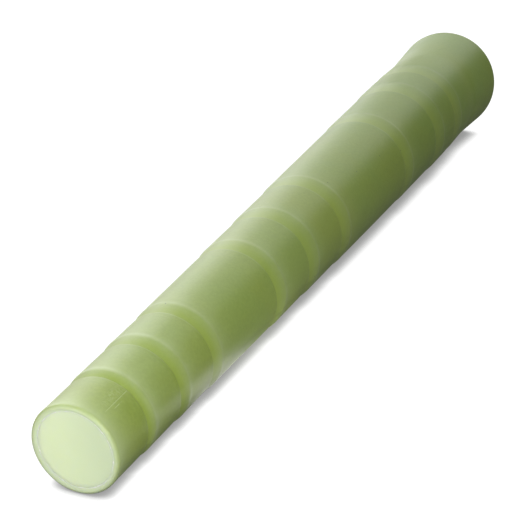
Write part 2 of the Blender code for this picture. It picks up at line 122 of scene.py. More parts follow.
class Shader:
    """A procedural material under construction. Its coordinates are the piece's own, in metres."""

    def __init__(self, name):
        self.material = bpy.data.materials.new(name)
        self.material.use_nodes = True
        self.tree = self.material.node_tree
        self.surface = self.tree.nodes["Principled BSDF"]
        self.place = self.node("ShaderNodeTexCoord").outputs["Object"]

    def node(self, kind, **settings):
        made = self.tree.nodes.new(kind)
        for key, value in settings.items():
            setattr(made, key, value)
        return made

    def feed(self, socket, value):
        """Give a socket a number, a colour or another node's output."""
        if isinstance(value, bpy.types.NodeSocket):
            self.tree.links.new(value, socket)
        elif isinstance(value, tuple) and socket.type == "RGBA":
            socket.default_value = (*value, 1.0)
        else:
            socket.default_value = value

    def set(self, **values):
        for key, value in values.items():
            self.feed(self.surface.inputs[key.replace("_", " ")], value)

    def noise(self, scale, detail=2.0, roughness=0.5, stretch=None):
        made = self.node("ShaderNodeTexNoise")
        made.inputs["Scale"].default_value = scale
        made.inputs["Detail"].default_value = detail
        made.inputs["Roughness"].default_value = roughness
        self.feed(made.inputs["Vector"], self.scaled(stretch) if stretch else self.place)
        return made.outputs["Fac"]

    def scaled(self, factors):
        made = self.node("ShaderNodeMapping")
        made.inputs["Scale"].default_value = factors
        self.feed(made.inputs["Vector"], self.place)
        return made.outputs["Vector"]

    def fade(self, value, low, high, first=0.0, last=1.0):
        """Runs smoothly from first to last as value goes from low to high."""
        made = self.node("ShaderNodeMapRange", interpolation_type="SMOOTHSTEP")
        for socket, number in zip(made.inputs, (value, low, high, first, last)):
            self.feed(socket, number)
        return made.outputs["Result"]

    def mix(self, factor, first, second, mode="MIX"):
        made = self.node("ShaderNodeMix", data_type="RGBA", blend_type=mode)
        for socket, value in ((made.inputs[0], factor), (made.inputs[6], first), (made.inputs[7], second)):
            self.feed(socket, value)
        return made.outputs[2]

    def math(self, operation, first, second=0.0):
        made = self.node("ShaderNodeMath", operation=operation)
        self.feed(made.inputs[0], first)
        self.feed(made.inputs[1], second)
        return made.outputs[0]

    def painted(self, name):
        """A value that the mesh holds at each of its points."""
        return self.node("ShaderNodeAttribute", attribute_name=name).outputs["Fac"]

    def dot(self, direction):
        """How far the point lies in a direction."""
        made = self.node("ShaderNodeVectorMath", operation="DOT_PRODUCT")
        self.feed(made.inputs[0], self.place)
        made.inputs[1].default_value = direction
        return made.outputs["Value"]

    def along(self):
        """The distance along the wand."""
        return self.math("SUBTRACT", self.dot(AXIS), AXIS.dot(RIM_CENTRE))

    def stretched_distance(self, point, stretch):
        """The distance from a point, where a step along the wand counts less."""
        made = self.node("ShaderNodeVectorMath", operation="DISTANCE")
        self.feed(made.inputs[0], self.place)
        made.inputs[1].default_value = point
        step = self.math("SUBTRACT", self.dot(AXIS), AXIS.dot(point))
        share = 1.0 - 1.0 / stretch ** 2
        spared = self.math("MULTIPLY", self.math("MULTIPLY", step, step), share)
        whole = self.math("MULTIPLY", made.outputs["Value"], made.outputs["Value"])
        return self.math("SQRT", self.math("SUBTRACT", whole, spared))

    def speckle(self, spacing, size, softness=0.4):
        """1 inside small scattered grains, 0 elsewhere."""
        made = self.node("ShaderNodeTexVoronoi")
        made.inputs["Scale"].default_value = 1.0 / spacing
        self.feed(made.inputs["Vector"], self.place)
        reach = size / spacing
        return self.fade(made.outputs["Distance"], reach * (1.0 - softness), reach, 1.0, 0.0)

    def bump(self, height, distance):
        made = self.node("ShaderNodeBump")
        made.inputs["Distance"].default_value = distance
        made.inputs["Strength"].default_value = 1.0
        self.feed(made.inputs["Height"], height)
        self.feed(self.surface.inputs["Normal"], made.outputs["Normal"])


GREEN = (0.220, 0.299, 0.062)
SHADED_GREEN = (0.175, 0.272, 0.028)
LIT_GROOVE_GREEN = (0.285, 0.372, 0.070)
WORN_GREEN = (0.42, 0.50, 0.26)
LIT_RIM_GREEN = (0.74, 0.85, 0.57)
PALE_GREEN = (0.78, 0.88, 0.58)


def waxy(shader, weight, reach):
    """Light spreads a little way under the surface."""
    shader.surface.inputs["Subsurface Weight"].default_value = weight
    shader.surface.inputs["Subsurface Radius"].default_value = (1.0, 0.9, 0.45)
    shader.surface.inputs["Subsurface Scale"].default_value = reach


def luminous_plastic():
    """Frosted plastic: cloudy, chalky where it is rubbed, and specked, with painted light: brighter in its
    grooves and round the tip, and with a painted highlight and painted shade.
    """
    shader = Shader("luminous_plastic")
    waxy(shader, 0.35, 2.2 * MM)
    # Painted shade: the green deepens towards the bell mouth, standing for light that falls off away from the
    # tip.
    colour = shader.mix(shader.fade(shader.along(), 0.0, 0.22), SHADED_GREEN, GREEN)
    # Painted light: the last 80 mm towards the bell mouth are painted lighter and yellower, where the bell
    # catches more light.
    colour = shader.mix(shader.fade(shader.along(), 0.02, 0.08, 0.22, 0.0), colour, (0.40, 0.52, 0.16))
    # Painted highlight: a soft lighter patch on the upper side of the wand at the neck.
    shoulder = RIM_CENTRE + AXIS * 31.0 * MM + Vector((0.0, -0.62, 0.785)) * 18.0 * MM
    painted_highlight = shader.fade(shader.stretched_distance(shoulder, 1.5), 1.0 * MM, 11.0 * MM, 0.30, 0.0)
    colour = shader.mix(painted_highlight, colour, (0.46, 0.55, 0.36))
    cloud = shader.fade(shader.noise(38.0, 3.0), 0.35, 0.65)
    colour = shader.mix(cloud, shader.mix(1.0, colour, (1.05, 1.0, 0.86), "MULTIPLY"), colour)
    grain = shader.fade(shader.noise(1300.0, 3.0, 0.6), 0.3, 0.7)
    colour = shader.mix(grain, shader.mix(1.0, colour, (0.91, 0.92, 0.88), "MULTIPLY"), colour)
    # Painted light: where the mesh's glow paint is set, on the groove ramps, the green is painted brighter
    # and yellower.
    colour = shader.mix(shader.math("MULTIPLY", shader.painted("glow"), 0.5), colour, LIT_GROOVE_GREEN)
    patchy = shader.fade(shader.noise(260.0, 4.0, 0.6), 0.25, 0.60, 0.65, 1.0)
    colour = shader.mix(shader.math("MULTIPLY", shader.painted("worn"), patchy), colour, WORN_GREEN)
    # Painted light: the end face, its rounded edge and the skin just behind the tip are painted lighter, as
    # where light shines through the thin rim.
    colour = shader.mix(shader.painted("pale"), colour, LIT_RIM_GREEN)
    smear, ripples = tool_marks(shader)
    colour = shader.mix(smear, colour, WORN_GREEN)
    specks = shader.speckle(6.4 * MM, 0.24 * MM)
    colour = shader.mix(shader.math("MULTIPLY", specks, 0.75), colour, (0.06, 0.075, 0.035))
    shader.set(Base_Color=colour, IOR=1.5)
    shader.set(Roughness=shader.fade(shader.noise(420.0, 2.0), 0.3, 0.7, 0.44, 0.46))
    frost = shader.math("ADD", shader.math("MULTIPLY", shader.noise(2600.0, 2.0), 0.4), ripples)
    shader.bump(frost, 0.03 * MM)
    return shader.material


def tool_marks(shader):
    """Smeared ripples and two hairline scratches on top of the wand, just behind its tip."""
    facing = Vector((0.0, 0.60, 0.80))
    aside = AXIS.cross(facing).normalized()
    middle = RIM_CENTRE + AXIS * (LENGTH - 8.2 * MM) + Vector((0.0, 0.47, 0.883)) * 10.1 * MM
    patch = shader.stretched_distance(middle, 2.8)
    inside = shader.fade(patch, 0.4 * MM, 2.2 * MM, 1.0, 0.0)
    ragged = shader.fade(shader.noise(420.0, 2.0, 0.5), 0.30, 0.62, 0.3, 1.0)
    crests = shader.fade(shader.noise(2300.0, 3.0, 0.65, (1.0, 0.75, 0.75)), 0.40, 0.66)
    ripples = shader.math("MULTIPLY", shader.math("MULTIPLY", inside, ragged), crests)
    marks = shader.math("MULTIPLY", ripples, 0.26)
    sideways = shader.dot(aside)
    back = shader.along()
    broken = shader.fade(shader.noise(800.0, 2.0), 0.32, 0.50)
    top = shader.fade(shader.dot(facing), 0.004, 0.008)
    for shift, first, last in ((0.25, 3.2, 12.6), (-0.55, 5.5, 9.0)):
        off = shader.math("ABSOLUTE", shader.math("SUBTRACT", sideways, aside.dot(RIM_CENTRE) + shift * MM))
        line = shader.fade(off, 0.03 * MM, 0.10 * MM, 0.55, 0.0)
        ends = shader.math(
            "MULTIPLY",
            shader.fade(back, LENGTH - last * MM, LENGTH - (last - 1.0) * MM),
            shader.fade(back, LENGTH - (first + 1.0) * MM, LENGTH - first * MM, 1.0, 0.0),
        )
        line = shader.math("MULTIPLY", line, ends)
        line = shader.math("MULTIPLY", line, shader.math("MULTIPLY", broken, top))
        marks = shader.math("MAXIMUM", marks, line)
    return marks, ripples


def end_disc_plastic():
    """The same plastic in a paler grade, with painted shade that darkens it towards one side."""
    shader = Shader("end_disc_plastic")
    waxy(shader, 0.35, 2.5 * MM)
    cloud = shader.fade(shader.noise(75.0, 3.0), 0.3, 0.7)
    colour = shader.mix(cloud, (0.75, 0.86, 0.54), PALE_GREEN)
    # Painted shade: the disc is painted darker towards one side.
    shade = shader.fade(shader.dot(Vector((0.0, 0.97, 0.24))), -2.0 * MM, 12.0 * MM, 0.0, 0.85)
    colour = shader.mix(shade, colour, (0.60, 0.70, 0.46))
    shader.set(Base_Color=colour, IOR=1.5)
    shader.set(Roughness=shader.fade(shader.noise(420.0, 2.0), 0.3, 0.7, 0.38, 0.48))
    shader.bump(shader.noise(2600.0, 2.0), 0.01 * MM)
    return shader.material


def moulded(name, colour, roughness, texture=0.02 * MM):
    """Moulded plastic or rubber with a fine spark-eroded texture and a little dust."""
    shader = Shader(name)
    dust = shader.fade(shader.noise(300.0, 4.0, 0.6), 0.45, 0.75, 0.0, 0.35)
    lighter = tuple(0.8 * part + 0.06 for part in colour)
    shader.set(Base_Color=shader.mix(dust, colour, lighter), IOR=1.5)
    shader.set(Roughness=shader.fade(shader.noise(700.0, 3.0), 0.3, 0.7, roughness - 0.06, roughness + 0.06))
    shader.bump(shader.noise(3200.0, 3.0, 0.6), texture)
    return shader.material


def metal(name, colour, roughness, turned=True):
    """Bare or plated metal, with fine tool lines round the wand's axis where it is turned."""
    shader = Shader(name)
    lines = shader.noise(4000.0, 2.0, 0.6, (1.0, 0.03, 0.03) if turned else None)
    stain = shader.fade(shader.noise(240.0, 3.0), 0.35, 0.7)
    darker = tuple(0.86 * part for part in colour)
    shader.set(Base_Color=shader.mix(stain, colour, darker), Metallic=1.0)
    shader.set(Roughness=shader.fade(lines, 0.3, 0.7, roughness * 0.75, roughness * 1.3))
    shader.bump(lines, 0.004 * MM)
    return shader.material


def clear_lens():
    shader = Shader("clear_lens")
    shader.surface.inputs["Transmission Weight"].default_value = 1.0
    haze = shader.fade(shader.noise(150.0, 3.0), 0.4, 0.7)
    shader.set(Base_Color=shader.mix(haze, (0.96, 0.99, 0.99), (0.92, 0.96, 0.95)), IOR=1.49)
    shader.set(Roughness=shader.fade(haze, 0.0, 1.0, 0.02, 0.06))
    return shader.material


def circuit_board():
    """Green solder mask over branching tracks, with gold pads."""
    shader = Shader("circuit_board")
    tracks = shader.fade(shader.noise(420.0, 1.0), 0.48, 0.52)
    mask = shader.mix(tracks, (0.014, 0.115, 0.045), (0.03, 0.20, 0.08))
    pads = shader.speckle(2.6 * MM, 0.55 * MM, 0.1)
    shader.set(Base_Color=shader.mix(pads, mask, (0.80, 0.60, 0.24)), Metallic=pads, IOR=1.5)
    shader.set(Roughness=shader.fade(shader.noise(900.0), 0.3, 0.7, 0.25, 0.35))
    return shader.material


def cell_wrap(flipped):
    """A dry cell's shrink wrap: a dark body, a copper-coloured end at the positive pole, bare steel ends."""
    shader = Shader("cell_wrap_back" if flipped else "cell_wrap")
    low, high = 27.3 * MM, 71.8 * MM
    if flipped:
        low, high = TURNED_CELL * MM - low, TURNED_CELL * MM - high
    at = shader.along()
    band = shader.fade(at, high - 0.30 * (high - low), high - 0.29 * (high - low))
    colour = shader.mix(band, (0.020, 0.030, 0.055), (0.55, 0.24, 0.09))
    bare = shader.fade(at, high - 0.022 * (high - low), high - 0.018 * (high - low))
    colour = shader.mix(bare, colour, (0.62, 0.62, 0.62))
    shine = shader.math("MAXIMUM", bare, shader.math("MULTIPLY", band, 0.6))
    crease = shader.noise(170.0, 3.0, 0.5, (0.3, 1.0, 1.0))
    shader.set(Base_Color=colour, Metallic=shine, IOR=1.5)
    shader.set(Roughness=shader.fade(crease, 0.3, 0.7, 0.22, 0.36))
    shader.bump(crease, 0.01 * MM)
    return shader.material


def led_resin():
    """A clear dome over yellow phosphor."""
    shader = Shader("led_resin")
    waxy(shader, 0.4, 0.6 * MM)
    shader.surface.inputs["Coat Weight"].default_value = 1.0
    glow = shader.fade(shader.noise(900.0, 2.0), 0.3, 0.7)
    shader.set(Base_Color=shader.mix(glow, (0.86, 0.66, 0.10), (0.95, 0.80, 0.22)), IOR=1.5)
    shader.set(Roughness=shader.fade(glow, 0.0, 1.0, 0.08, 0.16))
    return shader.material


def make_finishes():
    return {
        "luminous_plastic": luminous_plastic(),
        "end_disc_plastic": end_disc_plastic(),
        "white_plastic": moulded("white_plastic", (0.72, 0.73, 0.66), 0.46, 0.006 * MM),
        "black_plastic": moulded("black_plastic", (0.022, 0.022, 0.024), 0.50),
        "rubber": moulded("rubber", (0.016, 0.016, 0.016), 0.78, 0.01 * MM),
        "button_rubber": moulded("button_rubber", (0.34, 0.035, 0.022), 0.58, 0.015 * MM),
        "aluminium": metal("aluminium", (0.70, 0.71, 0.72), 0.30),
        "mirror_coat": metal("mirror_coat", (0.90, 0.90, 0.90), 0.06),
        "clear_lens": clear_lens(),
        "circuit_board": circuit_board(),
        "spring_steel": metal("spring_steel", (0.56, 0.56, 0.56), 0.28, turned=False),
        "brass": metal("brass", (0.80, 0.56, 0.24), 0.30),
        "cell_wrap": cell_wrap(False),
        "led_resin": led_resin(),
        "wire_sleeve": moulded("wire_sleeve", (0.42, 0.03, 0.02), 0.40, 0.004 * MM),
    }


# Meshes

def revolve(name, rings, sides=ROUND_SIDES, closed=True):
    """A skin turned about z. A ring is (radius, z) or (radius, z, {paint: value}); outer side first."""
    verts = []
    paints = {}
    loops = []
    for ring in rings:
        radius, place = ring[:2]
        count = 1 if radius < 1e-7 else sides
        loops.append([len(verts) + (side if count > 1 else 0) for side in range(sides)])
        for side in range(count):
            angle = math.tau * side / sides
            if len(ring) > 2:
                for paint, value in ring[2].items():
                    paints.setdefault(paint, {})[len(verts)] = value
            verts.append((radius * math.cos(angle), radius * math.sin(angle), place))
    pairs = list(zip(loops, loops[1:]))
    if closed:
        pairs.append((loops[-1], loops[0]))
    faces = []
    for upper, lower in pairs:
        for side in range(sides):
            after = (side + 1) % sides
            corners = [upper[side], lower[side], lower[after], upper[after]]
            faces.append([corner for i, corner in enumerate(corners) if corner not in corners[:i]])
    mesh = bpy.data.meshes.new(name)
    mesh.from_pydata(verts, [], faces)
    for paint, values in paints.items():
        attribute = mesh.attributes.new(paint, "FLOAT", "POINT")
        attribute.data.foreach_set("value", [values.get(i, 0.0) for i in range(len(verts))])
    return mesh


def nudge(mesh, move):
    """Move every point of a mesh by a rule of its radius, angle and z."""
    for vert in mesh.vertices:
        radius = math.hypot(vert.co.x, vert.co.y)
        angle = math.atan2(vert.co.y, vert.co.x)
        radius, place = move(radius, angle, vert.co.z)
        vert.co = (radius * math.cos(angle), radius * math.sin(angle), place)


def add_piece(mesh, body, material, nodes=(), sharp=50.0):
    """Put a mesh of the wand's own frame into the scene, riding on a body."""
    mesh.shade_smooth()
    mesh.set_sharp_from_angle(angle=math.radians(sharp))
    mesh.materials.append(material)
    mesh.transform(WAND)
    piece = bpy.data.objects.new(mesh.name, mesh)
    bpy.context.scene.collection.objects.link(piece)
    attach(piece, body)
    if nodes:
        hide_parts(*nodes)
    return piece


def corner(centre, radius, first, last, count):
    """Rings of a rounded edge, between two angles in degrees."""
    rings = []
    for i in range(count + 1):
        angle = math.radians(first + (last - first) * i / count)
        rings.append((centre[0] + radius * math.cos(angle), centre[1] + radius * math.sin(angle)))
    return rings


def smooth(share):
    """Eases from 0 to 1 as share goes from 0 to 1, and stays there outside."""
    share = min(max(share, 0.0), 1.0)
    return share * share * (3.0 - 2.0 * share)


# The sleeve

def cone(from_tip):
    """The taper, a little full half way along, down to the neck."""
    full = math.exp(-(((from_tip - FULL_FROM_TIP) / FULL_SPREAD) ** 2))
    return min(CONE_TIP_RADIUS + CONE_SLOPE * from_tip + FULLNESS * full, NECK_RADIUS)


def rubbed(back):
    """How chalky the skin is, a distance behind a ridge."""
    return 0.42 * math.exp(-((max(back, 0.0) / (3.2 * MM)) ** 0.8))


def sunk(place, first, last):
    """The radius of a plain stretch, which falls off a little towards the groove behind it."""
    share = (place - first) / (last - first)
    return cone(place) - 0.02 * MM - (SECTION_DROP - 0.02 * MM) * share


def section(first, last, chalk, begin=None):
    """A plain stretch between one ridge and the next groove, rolled over at its last edge."""
    rings = []
    begin = begin or first
    steps = max(14, int((last - begin) / (0.8 * MM)))
    edge_round = 0.5 * MM
    for i in range(1, steps):
        place = begin + (last - edge_round - begin) * i / steps
        rings.append((sunk(place, first, last), LENGTH - place, {"worn": chalk * rubbed(place - first)}))
    for i in range(9):
        share = i / 8
        place = last - edge_round * (1.0 - share)
        drop = SECTION_DROP + 0.04 * MM * share ** 2
        rings.append((cone(place) - drop, LENGTH - place))
    return rings


def groove(edge, ridge, chalk):
    """One groove: a steep wall, a hollow ramp that rises to the back, and a low rubbed ridge."""
    rings = []
    wall = 0.32 * MM
    bottom = cone(edge) - GROOVE_DEPTH
    top = cone(ridge) - 0.03 * MM
    crest = 0.04 * MM
    half = 0.7 * MM
    # The glow paint is painted light: it brightens the ramp, most at its deep end, and a little of the ridge.
    rings.append((bottom + 0.05 * MM, LENGTH - edge - wall * 0.8, {"glow": 0.1}))
    rings.append((bottom, LENGTH - edge - wall * 1.3, {"glow": 0.5}))
    start = edge + wall * 1.3
    finish = ridge - half
    steps = 14
    for i in range(1, steps + 1):
        share = i / steps
        rise = share ** 1.1
        paint = {
            "glow": 1.0 - 0.75 * smooth((share - 0.3) / 0.7),
            "worn": chalk * 0.30 * smooth((share - 0.25) / 0.75),
        }
        radius = bottom + (top - bottom) * rise
        rings.append((radius, LENGTH - start - (finish - start) * share, paint))
    steps = 8
    for i in range(1, steps + 1):
        share = i / steps
        bulge = math.sin(math.pi * share)
        place = finish + 2 * half * share
        paint = {"worn": chalk * (0.30 + 0.12 * share + 0.16 * bulge ** 2), "glow": 0.25 * (1.0 - share)}
        rings.append((top + crest * bulge, LENGTH - place, paint))
    return rings


def bell():
    """From the neck out to the bell mouth's rim and round it."""
    rings = []
    start = NECK_FROM_TIP
    finish = LENGTH - EDGE_ROUND
    first = GROOVES[-1][1] * MM + 0.55 * MM
    for i in range(1, 9):
        rings.append((NECK_RADIUS, LENGTH - first - (start - 1.2 * MM - first) * i / 8))
    steps = 18
    lag = 0.035
    for i in range(1, steps + 1):
        share = i / steps
        place = start + (finish - start) * share
        ease = share - lag * (1.0 - smooth(share * 6.0))
        rings.append((NECK_RADIUS + (RIM_RADIUS - NECK_RADIUS) * max(ease, 0.0), LENGTH - place))
    return rings + corner((RIM_RADIUS - EDGE_ROUND, EDGE_ROUND), EDGE_ROUND, 0.0, -90.0, 8)[1:]


def tip_edge():
    """The narrow end face round the disc, and its rounded edge; painted light keeps the skin lighter some way
    behind it.
    """
    rings = []
    for i in range(5):
        radius = SEAM_RADIUS + (TIP_RADIUS - EDGE_ROUND - SEAM_RADIUS) * i / 5
        rings.append((radius, FACE, {"pale": 1.0 - 0.3 * i / 5}))
    middle = (TIP_RADIUS - EDGE_ROUND, FACE - EDGE_ROUND)
    for i in range(13):
        angle = math.radians(90.0 * (1.0 - i / 12))
        radius = middle[0] + EDGE_ROUND * math.cos(angle)
        paint = {"pale": 0.23 + 0.42 * math.sin(angle) ** 4}
        rings.append((radius, middle[1] + EDGE_ROUND * math.sin(angle), paint))
    for i in range(1, 22):
        back = 9.0 * MM * i / 21
        pale = 0.28 * math.exp(-back / (2.8 * MM)) * (1.0 - smooth((back - 5.0 * MM) / (4.0 * MM)))
        radius = sunk(LENGTH - middle[1] + back, 0.0, GROOVES[0][0] * MM)
        rings.append((max(TIP_RADIUS, radius), middle[1] - back, {"pale": pale}))
    return rings


def skewed(place, y):
    """The end face is cut a little out of square."""
    return place + FACE_SKEW * y * smooth((place - (FACE - 6.0 * MM)) / (5.0 * MM))


def off_centre(x, y):
    """The end disc sits a little to one side."""
    return x - 0.65 * SEAM_OFFSET, y + 0.76 * SEAM_OFFSET


def settle_skin(mesh):
    """Skew the end face, make the skin a little uneven and bend it, without going through the floor."""
    for vert in mesh.vertices:
        radius = math.hypot(vert.co.x, vert.co.y)
        place = vert.co.z
        side_x, side_y = vert.co.x / radius, vert.co.y / radius
        if radius < cone(LENGTH - place) - 1.0 * MM or place < 2.0 * MM or place > FACE - 2.0 * MM:
            if place > FACE - 4.0 * MM:
                inner = smooth((TIP_RADIUS - EDGE_ROUND - radius) / (TIP_RADIUS - EDGE_ROUND - SEAM_RADIUS))
                x, y = off_centre(vert.co.x, vert.co.y)
                vert.co.x += (x - vert.co.x) * inner
                vert.co.y += (y - vert.co.y) * inner
                vert.co.z = skewed(place, vert.co.y)
            continue
        at = Vector((side_x, side_y, place / (22.0 * MM)))
        radius += 0.02 * MM * noise.noise(at * 1.1)
        place = skewed(place + 0.2 * MM * noise.noise(at * 1.6 + Vector((7.0, 3.0, 1.0))), radius * side_y)
        if side_x > 0.0:
            above_floor = RIM_CENTRE.z + AXIS.z * place - 0.01 * MM
            radius = min(radius, above_floor / -DOWN.z / side_x)
        vert.co = (radius * side_x, radius * side_y + BOW * math.sin(math.pi * place / LENGTH), place)


def make_sleeve(material):
    rings = tip_edge()
    rings += section(0.0, GROOVES[0][0] * MM, 0.0, LENGTH - rings[-1][1])
    chalk = 1.0
    for i, (edge, ridge) in enumerate(GROOVES):
        rings += groove(edge * MM, ridge * MM, chalk)
        if i + 1 < len(GROOVES):
            rings += section((ridge + 0.7) * MM, GROOVES[i + 1][0] * MM, chalk)
        chalk *= 0.86
    rings += bell()
    rings += [
        (MOUTH_RADIUS + 0.75 * MM, 0.0), (MOUTH_RADIUS + 0.3 * MM, 0.15 * MM), (MOUTH_RADIUS, 0.7 * MM),
        (MOUTH_RADIUS, 10.4 * MM), (MOUTH_RADIUS - 0.5 * MM, 10.9 * MM), (MOUTH_RADIUS - 0.5 * MM, 11.4 * MM),
        (MOUTH_RADIUS, 11.8 * MM), (MOUTH_RADIUS, 15.3 * MM), (15.2 * MM, 15.3 * MM), (15.2 * MM, 60.0 * MM),
        (14.5 * MM, 61.0 * MM), (14.5 * MM, 104.0 * MM), (7.0 * MM, LENGTH - 3.3 * MM),
        (SEAM_RADIUS, LENGTH - 3.3 * MM),
    ]
    mesh = revolve("sleeve_skin", rings)
    settle_skin(mesh)
    add_piece(mesh, "wand", material, ["wand_sleeve"])


def make_tip_disc(material):
    radius = SEAM_RADIUS - 0.015 * MM
    face = FACE - 0.01 * MM
    rings = [(0.0, face)]
    rings += [(radius * i / 8, face) for i in range(1, 8)]
    rings += corner((radius - 0.04 * MM, face - 0.04 * MM), 0.04 * MM, 90.0, 0.0, 3)
    rings += [
        (radius, LENGTH - 3.0 * MM), (6.7 * MM, LENGTH - 3.0 * MM), (6.7 * MM, LENGTH - 5.5 * MM),
        (5.5 * MM, LENGTH - 5.5 * MM), (5.5 * MM, LENGTH - 2.5 * MM), (0.0, LENGTH - 2.5 * MM),
    ]
    mesh = revolve("tip_disc_face", rings, closed=False)
    for vert in mesh.vertices:
        vert.co.x, vert.co.y = off_centre(vert.co.x, vert.co.y)
        vert.co.z = skewed(vert.co.z, vert.co.y)
    add_piece(mesh, "wand", material, ["tip_disc"])


def make_seam(material):
    """The thin, broken bead of cement that shows in the seam round the end disc."""
    sides = 360
    around = 6
    verts = []
    for i in range(sides):
        angle = math.tau * i / sides
        at = Vector((math.cos(angle), math.sin(angle), 0.0))
        swell = noise.noise(at * 5.0) + 0.8 * noise.noise(at * 17.0) + 0.5 * noise.noise(at * 41.0)
        thick = (0.05 + 0.12 * min(max(swell, -0.4), 0.8)) * MM
        middle = SEAM_RADIUS - 0.03 * MM + 0.04 * MM * noise.noise(at * 9.0 + Vector((4.0, 0.0, 2.0)))
        for j in range(around):
            turn = math.tau * j / around
            radius = middle + thick * math.cos(turn)
            x, y = off_centre(radius * at.x, radius * at.y)
            verts.append((x, y, skewed(FACE - 0.02 * MM + 0.45 * thick * math.sin(turn), y)))
    faces = []
    for i in range(sides):
        after = (i + 1) % sides
        for j in range(around):
            beside = (j + 1) % around
            faces.append([i * around + j, after * around + j, after * around + beside, i * around + beside])
    mesh = bpy.data.meshes.new("seam_bead")
    mesh.from_pydata(verts, [], faces)
    add_piece(mesh, "wand", material, sharp=180.0)


def cement():
    shader = Shader("cement")
    waxy(shader, 0.2, 0.5 * MM)
    cloud = shader.fade(shader.noise(500.0), 0.3, 0.7)
    shader.set(Base_Color=shader.mix(cloud, (0.80, 0.84, 0.70), (0.95, 0.96, 0.88)))
    shader.set(Roughness=0.25, IOR=1.5)
    return shader.material


# Springs and round pieces inside

def tube(name, path, radius, sides=10):
    """A round wire along a path, with closed ends."""
    points = [Vector(point) for point in path]
    verts = []
    side_way = None
    for i, point in enumerate(points):
        ahead = (points[min(i + 1, len(points) - 1)] - points[max(i - 1, 0)]).normalized()
        if side_way is None:
            side_way = ahead.orthogonal()
        side_way = (side_way - ahead * side_way.dot(ahead)).normalized()
        other_way = ahead.cross(side_way)
        for j in range(sides):
            angle = math.tau * j / sides
            verts.append(point + radius * (math.cos(angle) * side_way + math.sin(angle) * other_way))
    faces = []
    for i in range(len(points) - 1):
        for j in range(sides):
            beside = (j + 1) % sides
            faces.append([i * sides + j, i * sides + beside, (i + 1) * sides + beside, (i + 1) * sides + j])
    last = (len(points) - 1) * sides
    faces.append(list(range(sides))[::-1])
    faces.append([last + j for j in range(sides)])
    mesh = bpy.data.meshes.new(name)
    mesh.from_pydata(verts, [], faces)
    return mesh


def coil_path(radius_low, radius_high, low, high, turns, centre=(0.0, 0.0)):
    """A spring's centre line, with its two end turns lying closer."""
    steps = int(turns * 36)
    path = []
    for i in range(steps + 1):
        share = i / steps
        angle = math.tau * turns * share
        radius = radius_low + (radius_high - radius_low) * share
        rise = 0.55 * share + 0.45 * smooth(share)
        path.append((
            centre[0] + radius * math.cos(angle),
            centre[1] + radius * math.sin(angle),
            low + (high - low) * rise,
        ))
    return [tuple(value * MM for value in point) for point in path]


def scaled_rings(rings):
    return [(radius * MM, place * MM) for radius, place in rings]


def make_springs(finish):
    mesh = tube("driver_coil", coil_path(2.6, 1.8, 78.6, 76.6, 2.0), 0.35 * MM)
    add_piece(mesh, "wand", finish, ["driver_contact_spring"])
    mesh = tube("tail_coil", coil_path(4.0, 3.2, 18.1, 21.7, 3.0), 0.4 * MM)
    add_piece(mesh, "tail_module", finish, ["tail_spring"])
    for i in range(3):
        angle = math.tau * i / 3
        centre = (CELL_CIRCLE * math.cos(angle), CELL_CIRCLE * math.sin(angle))
        low, high = (25.05, 26.65) if i != 1 else (72.35, 70.75)
        mesh = tube(f"cell_coil_{i + 1}", coil_path(4.0, 2.8, low, high, 2.0, centre), 0.35 * MM)
        add_piece(mesh, "wand", finish, [f"cell_spring_{i + 1}"])
    low, high = 5.95, 8.85
    mesh = tube("button_coil", coil_path(5.2, 5.2, low, high, 2.5), 0.25 * MM)
    coil = add_piece(mesh, "tail_module", finish, ["button_spring"])
    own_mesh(coil)


def make_cells(front_finish, back_finish):
    radius = 5.25
    rings = [
        (0.0, 71.8), (1.5, 71.8), (1.8, 71.7), (1.9, 71.4), (1.9, 71.0), (3.4, 70.95), (4.3, 70.9),
        (4.5, 71.15), (4.9, 71.15), (5.1, 71.0), (radius, 70.6), (radius, 70.0), (radius - 0.06, 69.7),
        (radius, 69.4), (radius, 28.2), (5.15, 27.7), (4.8, 27.4), (4.4, 27.5), (4.2, 27.7), (0.0, 27.7),
    ]
    for i in range(3):
        flipped = i == 1
        angle = math.tau * i / 3
        ends = [(r, TURNED_CELL - z) for r, z in reversed(rings)] if flipped else rings
        mesh = revolve(f"cell_{i + 1}", scaled_rings(ends), sides=64, closed=False)
        middle = (CELL_CIRCLE * MM * math.cos(angle), CELL_CIRCLE * MM * math.sin(angle), 0.0)
        mesh.transform(Matrix.Translation(middle))
        finish = back_finish if flipped else front_finish
        add_piece(mesh, "wand", finish, [f"battery_cell_{i + 1}"], sharp=40.0)


def make_optics(finishes):
    throat, mouth, rear, front, wall = 3.2, 11.3, 89.6, 97.0, 0.8
    bowl = []
    steps = 20
    for i in range(steps + 1):
        radius = throat + (mouth - throat) * i / steps
        rise = (radius ** 2 - throat ** 2) / (mouth ** 2 - throat ** 2)
        bowl.append((radius, rear + (front - rear) * rise))
    back = [(radius + wall, place) for radius, place in reversed(bowl[:-1])]
    flange = [(12.4, front), (12.4, front - wall), (mouth + wall, front - wall)]
    mesh = revolve("reflector_cup", scaled_rings(flange + back + bowl), sides=96)
    add_piece(mesh, "wand", finishes["mirror_coat"], ["reflector"])
    rings = [
        (0.0, 98.95), (3.0, 98.95), (6.0, 98.9), (9.5, 98.8), (12.1, 98.7), (12.3, 98.6), (12.4, 98.4),
        (12.4, 97.6), (12.3, 97.4), (12.1, 97.3), (0.0, 97.3),
    ]
    mesh = revolve("lens_disc", scaled_rings(rings), sides=96, closed=False)
    add_piece(mesh, "wand", finishes["clear_lens"], ["lens"], sharp=40.0)


# The tail: cap and push button

